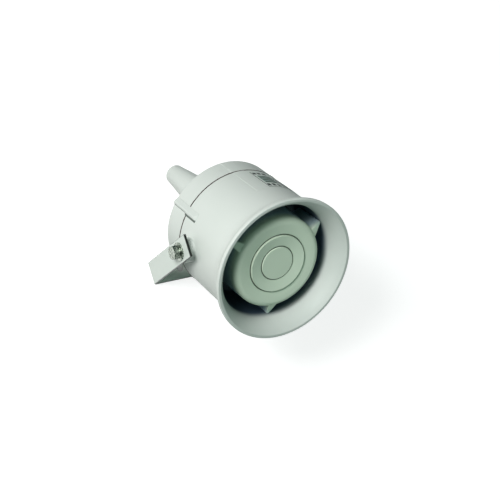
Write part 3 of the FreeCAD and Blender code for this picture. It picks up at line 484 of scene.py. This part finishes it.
# A field is its first and last angle in degrees, and its low and high end along the horn.
FOIL = (96.0, 128.0, -15.5, 24.0)
FRAME_BARS = ((96.5, 97.1, -14.8, 23.4), (97.2, 127.4, 22.8, 23.4))
SQUARES = ((97.8, 101.0, -12.8, -8.6), (102.4, 106.0, -12.8, -8.6), (107.6, 111.6, -12.8, -8.6),
           (97.8, 101.0, 15.4, 20.6), (103.0, 106.4, 14.8, 20.2), (108.6, 111.4, 15.6, 20.8))
BLOCK = (99.0, 113.0, -5.5, 12.6)
RULES = ((99.8, 112.4, -4.6, -3.2), (99.8, 112.4, -0.2, 1.4), (99.8, 112.4, 4.4, 6.0),
         (99.8, 112.4, 9.6, 11.2), (114.6, 116.0, -4.0, 21.0), (118.0, 119.6, -2.0, 21.5),
         (121.6, 123.2, 0.0, 22.0), (125.0, 126.4, 3.0, 22.0))


def wall_point(angle, height, lift):
    """A point over the bell's wall. The angle turns from the horn's left towards its top."""
    radius = WALL_FOOT[0] + WALL_WIDENS / WALL_LENGTH * (height - WALL_FOOT[1]) + lift
    round_horn = math.radians(180 - angle)
    return HORN_PLACE @ Vector((radius * math.cos(round_horn), radius * math.sin(round_horn), height))


def plates(fields, lift):
    """Thin closed plates bent to the wall, one for each field. Each starts flat, as a block of
    angle, height and lift, and the bend turns it inside out, so its faces are turned back."""
    shape = bmesh.new()
    for first, last, low, high in fields:
        plate = bmesh.ops.create_cube(shape, size=1.0)["verts"]
        bmesh.ops.scale(shape, verts=plate, vec=(last - first, high - low, lift))
        bmesh.ops.translate(shape, verts=plate, vec=((first + last) / 2, (low + high) / 2, lift / 2))
        round_wall = [edge for edge in shape.edges
                      if edge.verts[0] in plate and edge.verts[0].co.x != edge.verts[1].co.x]
        cuts = math.ceil((last - first) / FOIL_STEP) - 1
        if cuts > 0:
            bmesh.ops.subdivide_edges(shape, edges=round_wall, cuts=cuts)
    for corner in shape.verts:
        corner.co = wall_point(*corner.co)
    bmesh.ops.reverse_faces(shape, faces=shape.faces)
    return shape


def printed_foil(name, dark, light):
    """Satin polyester foil: a smooth skin, whose ink is a little uneven in patches of 1 mm."""
    material, shader, place = new_finish(name, IOR=1.4, Roughness=0.6)
    ink = add_node(material, "ShaderNodeTexNoise", {"Scale": INK_PER_MM / MM, "Detail": 3.0},
                   {"Vector": (place, "Object")})
    tone = add_node(material, "ShaderNodeMix",
                    {"data_type": "RGBA", COLOUR_A: linear(dark), COLOUR_B: linear(light)},
                    {"Factor": (ink, "Fac")})
    link(material, shader, {"Base Color": (tone, MIXED)})
    return material


new_piece("label_foil", plates([FOIL], FOIL_LIFT), printed_foil("pale_label_foil", "#C4CDC6", "#D0D6D0"))
new_piece("label_lines", plates(FRAME_BARS + SQUARES + RULES, LINE_LIFT),
          printed_foil("dark_label_ink", "#060B0A", "#1A2621"))
new_piece("label_block", plates([BLOCK], INK_LIFT), printed_foil("green_label_ink", "#587168", "#8DA398"))


# Throat plate and driver mouldings
# The baffle with its throat tube, the driver's cap and the phase plug are moulded in ABS, coloured
# a dark blue-grey as painted shade, so that the gap round the reflector looks black.
dress(moulded_abs("painted_shade_blue_grey_abs", "#1C2A36", "#243442"), "throat_plate", "driver_cap",
      "phase_plug", "terminal_block")


# Magnet system, diaphragm and transformer
# Plated steel parts round a black ferrite ring, a pressed phenolic dome with a copper coil, and
# a small line transformer of steel stampings and taped copper wire. All of it is out of sight.
def plain_finish(name, dark, light, grains_per_mm, **settings):
    """An inner part's finish: two close tones in a noise as fine as the material's own grain."""
    material, shader, place = new_finish(name, **settings)
    grain = add_node(material, "ShaderNodeTexNoise", {"Scale": grains_per_mm / MM, "Detail": 3.0},
                     {"Vector": (place, "Object")})
    tone = add_node(material, "ShaderNodeMix",
                    {"data_type": "RGBA", COLOUR_A: linear(dark), COLOUR_B: linear(light)},
                    {"Factor": (grain, "Fac")})
    bump = add_node(material, "ShaderNodeBump", {"Strength": 0.2, "Distance": 0.1 * MM},
                    {"Height": (grain, "Fac")})
    link(material, shader, {"Base Color": (tone, MIXED), "Normal": (bump, "Normal")})
    return material


dress(plain_finish("plated_mild_steel", "#9C9E9B", "#B2B4B0", 0.4, Metallic=1.0, Roughness=0.35),
      "top_plate", "yoke", "transformer_strap")
dress(plain_finish("sintered_ferrite", "#1C1D1F", "#26282A", 0.9, Roughness=0.6), "ring_magnet")
dress(plain_finish("phenolic_cloth", "#8A6534", "#A27B44", 1.5, Roughness=0.5), "diaphragm")
dress(plain_finish("doped_cloth", "#7D6F4C", "#93845C", 1.5, Roughness=0.8), "suspension_ring")
dress(plain_finish("enamelled_copper", "#A8582C", "#C27342", 2.5, Metallic=1.0, Roughness=0.3),
      "voice_coil")
dress(plain_finish("silicon_steel_laminations", "#5A5D60", "#74777A", 1.2, Metallic=1.0,
                   Roughness=0.45), "transformer_core")
dress(plain_finish("yellow_winding_tape", "#B99A2C", "#CDB04A", 0.5, Roughness=0.4),
      "transformer_winding")


# Studio
# A pale floor that runs out of sight, a broad soft lamp from the upper left of the picture, weak
# ones from its left and its lower right, and the camera where the photograph was taken from.
WHITE = (1.0, 1.0, 1.0, 1.0)
FLOOR_GLOW = 0.82
WORLD_STRENGTH = 0.12
# The studio's own lengths and places are in metres, and its turns in degrees.
FLOOR_SIZE = 8.0
FLOOR_DROP = 0.0002
HOLES_REACH = 0.05
CAMERA_PLACE = (-0.7037, -0.2750, 1.3249)
CAMERA_TURN = (19.236, -24.914, -19.224)
LENS_LENGTH_MM = 104.2
SENSOR_WIDTH_MM = 36.0
LAMP_TARGET = (0.0, 0.0, 0.09)
LAMP_DISTANCE = 1.5
# A lamp is its name, its direction in the picture (right, up and out of it), its width, its watts
# and its tint.
LAMPS = (("key_lamp", (-0.34, 0.28, 0.9), 0.5, 22.0, "#FFFFFF"),
         ("side_lamp", (-0.85, 0.3, 0.42), 0.6, 4.0, "#FFFBF5"),
         ("fill_lamp", (0.55, -0.5, 0.67), 0.5, 2.6, "#E2FFEE"))


def white_floor():
    """A matt white sheet that a camera or a reflection sees as plain white, save for the object's
    shadow. It doesn't glow under the bracket's base, so the holes there look dark."""
    material = bpy.data.materials.new("white_paper_floor")
    material.use_nodes = True
    tree_nodes = material.node_tree.nodes
    tree_nodes.remove(tree_nodes["Principled BSDF"])
    rays = add_node(material, "ShaderNodeLightPath")
    place = add_node(material, "ShaderNodeTexCoord")
    reach = add_node(material, "ShaderNodeVectorMath", {"operation": "ABSOLUTE"},
                     {"Vector": (place, "Object")})
    axes = add_node(material, "ShaderNodeSeparateXYZ", links={"Vector": (reach, "Vector")})
    beside = add_node(material, "ShaderNodeMath", {"operation": "GREATER_THAN", 1: STRIP_SIDE},
                      {0: (axes, "Y")})
    beyond = add_node(material, "ShaderNodeMath", {"operation": "GREATER_THAN", 1: HOLES_REACH},
                      {0: (axes, "X")})
    open_floor = add_node(material, "ShaderNodeMath", {"operation": "MAXIMUM"},
                          {0: (beside, 0), 1: (beyond, 0)})
    seen = add_node(material, "ShaderNodeMath", {"operation": "MAXIMUM"},
                    {0: (rays, "Is Camera Ray"), 1: (rays, "Is Glossy Ray")})
    seen = add_node(material, "ShaderNodeMath", {"operation": "MAXIMUM"},
                    {0: (seen, 0), 1: (rays, "Is Transmission Ray")})
    white = add_node(material, "ShaderNodeMath", {"operation": "MULTIPLY"},
                     {0: (seen, 0), 1: (open_floor, 0)})
    strength = add_node(material, "ShaderNodeMath", {"operation": "MULTIPLY", 1: FLOOR_GLOW},
                        {0: (white, 0)})
    glow = add_node(material, "ShaderNodeEmission", {"Color": WHITE}, {"Strength": (strength, 0)})
    paper = add_node(material, "ShaderNodeBsdfDiffuse", {"Color": linear("#ADADAD")})
    both = add_node(material, "ShaderNodeAddShader", links={0: (glow, 0), 1: (paper, 0)})
    link(material, tree_nodes["Material Output"], {"Surface": (both, 0)})
    return material


def studio_floor():
    """The floor, just under the bracket."""
    mesh = bpy.data.meshes.new("studio_floor")
    shape = bmesh.new()
    bmesh.ops.create_grid(shape, x_segments=1, y_segments=1, size=FLOOR_SIZE / 2,
                          matrix=Matrix.Translation((0, 0, -FLOOR_DROP)))
    shape.to_mesh(mesh)
    shape.free()
    floor = bpy.data.objects.new("studio_floor", mesh)
    floor.data.materials.append(white_floor())
    bpy.context.scene.collection.objects.link(floor)


def studio_world():
    """An even, dim surround of a cool tint, which a camera or a pane sees as white."""
    world = bpy.data.worlds.new("studio_world")
    world.use_nodes = True
    rays = add_node(world, "ShaderNodeLightPath")
    seen = add_node(world, "ShaderNodeMath", {"operation": "MAXIMUM"},
                    {0: (rays, "Is Camera Ray"), 1: (rays, "Is Transmission Ray")})
    strength = add_node(world, "ShaderNodeMapRange", {"To Min": WORLD_STRENGTH, "To Max": 1.0},
                        {"Value": (seen, 0)})
    tint = add_node(world, "ShaderNodeMix",
                    {"data_type": "RGBA", COLOUR_A: linear("#ABDED8"), COLOUR_B: WHITE},
                    {"Factor": (seen, 0)})
    link(world, world.node_tree.nodes["Background"],
         {"Color": (tint, MIXED), "Strength": (strength, "Result")})
    bpy.context.scene.world = world


def studio_camera():
    """The camera where the photograph was taken from. Its turn gives the picture's directions."""
    camera = bpy.data.cameras.new("studio_camera")
    camera.lens = LENS_LENGTH_MM
    camera.sensor_width = SENSOR_WIDTH_MM
    holder = bpy.data.objects.new("studio_camera", camera)
    holder.location = CAMERA_PLACE
    holder.rotation_euler = Euler([math.radians(a) for a in CAMERA_TURN])
    bpy.context.scene.collection.objects.link(holder)
    bpy.context.scene.camera = holder
    return holder.rotation_euler.to_matrix()


def lamp(towards, name, size, power, tint):
    """A square lamp that hangs in a direction from the horn and faces it."""
    light = bpy.data.lights.new(name, "AREA")
    light.shape = "SQUARE"
    light.size = size
    light.energy = power
    light.color = linear(tint)[:3]
    holder = bpy.data.objects.new(name, light)
    holder.location = Vector(LAMP_TARGET) + towards.normalized() * LAMP_DISTANCE
    holder.rotation_euler = (-towards).to_track_quat("-Z", "Y").to_euler()
    bpy.context.scene.collection.objects.link(holder)


studio_floor()
studio_world()
picture = studio_camera()
for lamp_name, direction, width, watts, lamp_tint in LAMPS:
    lamp(picture @ Vector(direction), lamp_name, width, watts, lamp_tint)
bpy.context.scene.view_settings.view_transform = "Standard"
